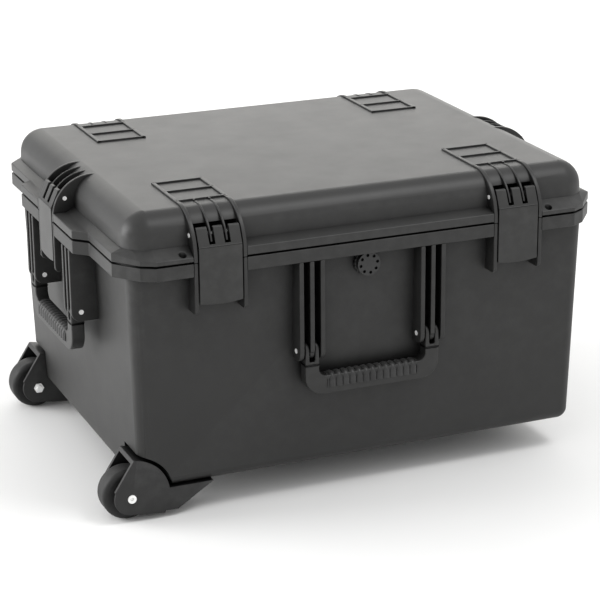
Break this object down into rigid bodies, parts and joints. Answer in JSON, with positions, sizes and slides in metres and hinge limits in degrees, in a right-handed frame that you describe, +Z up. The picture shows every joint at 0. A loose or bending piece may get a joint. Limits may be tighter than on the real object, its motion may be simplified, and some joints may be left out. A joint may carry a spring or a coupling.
{
  "type": "rolling tool box",
  "caption": "Deep moulded tool case with a hinged lid, pull-down latches, swing-down carry handles, corner wheels and an extending pull handle under the base.",
  "frame": {"origin": "on the ground, in the middle of the enclosing box of the closed case standing on its wheels and feet", "axes": "+X along the front towards the end without wheels, -Y out of the front face, +Z up"},
  "size_m": [0.6274, 0.489, 0.3625],
  "materials": {
    "case_base": "fine textured moulded polypropylene, dark grey",
    "case_lid": "fine textured moulded polypropylene, dark grey",
    "latch_plastic": "satin moulded plastic, dark grey",
    "handle_plastic": "satin moulded plastic, charcoal",
    "grip_rubber": "ribbed soft overmould, near black",
    "seal_rubber": "matt closed-cell seal, black",
    "black_plastic": "fine textured glass-filled plastic, near black",
    "valve_plastic": "satin moulded plastic, near black",
    "membrane": "breathable white film",
    "tyre_rubber": "solid rubber tread, satin black",
    "hub_plastic": "moulded nylon, black",
    "nylon": "self-lubricating nylon, grey",
    "bright_steel": "bright nickel plate",
    "zinc_steel": "zinc plate",
    "tube_aluminium": "clear anodised, drawn",
    "foot_rubber": "matt rubber, black",
    "button_plastic": "smooth plastic, near black"
  },
  "bodies": {
    "base": {"base_tub": "case_base", "base_rim_sides": "case_base", "base_rim_ends": "case_base", "base_rim_corners": "case_base", "base_latch_guards": "case_base", "base_hinge_guards": "case_base", "front_handle_brackets": "case_base", "end_handle_brackets": "case_base", "front_handle_pins": "bright_steel", "left_handle_pins": "bright_steel", "right_handle_pins": "bright_steel", "hinge_pin_left": "bright_steel", "hinge_pin_right": "bright_steel", "valve_body": "black_plastic", "valve_cap": "valve_plastic", "valve_membrane": "membrane", "valve_nut": "black_plastic", "wheel_bracket_front": "black_plastic", "wheel_bracket_rear": "black_plastic", "bracket_screws": "zinc_steel", "axle_front": "bright_steel", "axle_rear": "bright_steel", "axle_nuts": "bright_steel", "pull_handle_housing": "black_plastic", "housing_screws": "zinc_steel", "guide_bushes": "nylon", "rest_feet": "foot_rubber"},
    "lid": {"lid_cover": "case_lid", "lid_latch_pockets": "case_lid", "lid_rim_sides": "case_lid", "lid_rim_ends": "case_lid", "lid_rim_corners": "case_lid", "lid_latch_guards": "case_lid", "lid_hinge_guards": "case_lid", "lid_frames": "case_lid", "lid_gasket": "seal_rubber", "front_latch_pins": "bright_steel", "end_latch_pins": "bright_steel"},
    "latch_front_left": {"latch_lever_front_left": "latch_plastic"},
    "latch_front_right": {"latch_lever_front_right": "latch_plastic"},
    "latch_left_end": {"latch_lever_left_end": "latch_plastic"},
    "latch_right_end": {"latch_lever_right_end": "latch_plastic"},
    "front_handle": {"front_handle_bail": "handle_plastic", "front_handle_grip": "grip_rubber"},
    "left_handle": {"left_handle_bail": "handle_plastic", "left_handle_grip": "grip_rubber"},
    "right_handle": {"right_handle_bail": "handle_plastic", "right_handle_grip": "grip_rubber"},
    "front_wheel": {"front_wheel_tyre": "tyre_rubber", "front_wheel_hub": "hub_plastic", "front_wheel_bushes": "nylon"},
    "rear_wheel": {"rear_wheel_tyre": "tyre_rubber", "rear_wheel_hub": "hub_plastic", "rear_wheel_bushes": "nylon"},
    "pull_handle": {"pull_tubes": "tube_aluminium", "tube_stops": "nylon", "pull_grip": "black_plastic", "pull_grip_screws": "zinc_steel"},
    "release_button": {"release_button": "button_plastic"}
  },
  "joints": [
    {"name": "lid_hinge", "type": "hinge", "parent": "base", "child": "lid", "pos_m": [0.00225, 0.2385, 0.3075], "axis": [-1, 0, 0], "range_deg": [0, 105]},
    {"name": "latch_front_left_pivot", "type": "hinge", "parent": "lid", "child": "latch_front_left", "pos_m": [-0.18075, -0.229, 0.3348], "axis": [-1, 0, 0], "range_deg": [0, 100]},
    {"name": "latch_front_right_pivot", "type": "hinge", "parent": "lid", "child": "latch_front_right", "pos_m": [0.18525, -0.229, 0.3348], "axis": [-1, 0, 0], "range_deg": [0, 100]},
    {"name": "latch_left_end_pivot", "type": "hinge", "parent": "lid", "child": "latch_left_end", "pos_m": [-0.29375, -0.003, 0.3348], "axis": [0, 1, 0], "range_deg": [0, 100]},
    {"name": "latch_right_end_pivot", "type": "hinge", "parent": "lid", "child": "latch_right_end", "pos_m": [0.29825, -0.003, 0.3348], "axis": [0, -1, 0], "range_deg": [0, 100]},
    {"name": "front_handle_pivot", "type": "hinge", "parent": "base", "child": "front_handle", "pos_m": [0.00225, -0.2325, 0.1835], "axis": [-1, 0, 0], "range_deg": [0, 90]},
    {"name": "left_handle_pivot", "type": "hinge", "parent": "base", "child": "left_handle", "pos_m": [-0.29725, -0.003, 0.2155], "axis": [0, 1, 0], "range_deg": [0, 90]},
    {"name": "right_handle_pivot", "type": "hinge", "parent": "base", "child": "right_handle", "pos_m": [0.30175, -0.003, 0.2155], "axis": [0, -1, 0], "range_deg": [0, 90]},
    {"name": "front_wheel_spin", "type": "hinge", "parent": "base", "child": "front_wheel", "pos_m": [-0.28375, -0.192, 0.03], "axis": [0, 1, 0], "continuous": true},
    {"name": "rear_wheel_spin", "type": "hinge", "parent": "base", "child": "rear_wheel", "pos_m": [-0.28375, 0.186, 0.03], "axis": [0, 1, 0], "continuous": true},
    {"name": "pull_handle_slide", "type": "slide", "parent": "base", "child": "pull_handle", "axis": [1, 0, 0], "range_m": [0, 0.38]},
    {"name": "release_button_press", "type": "slide", "parent": "pull_handle", "child": "release_button", "axis": [-1, 0, 0], "range_m": [0, 0.0025], "stiffness_N_per_m": 700, "springref_m": -0.002}
  ]
}
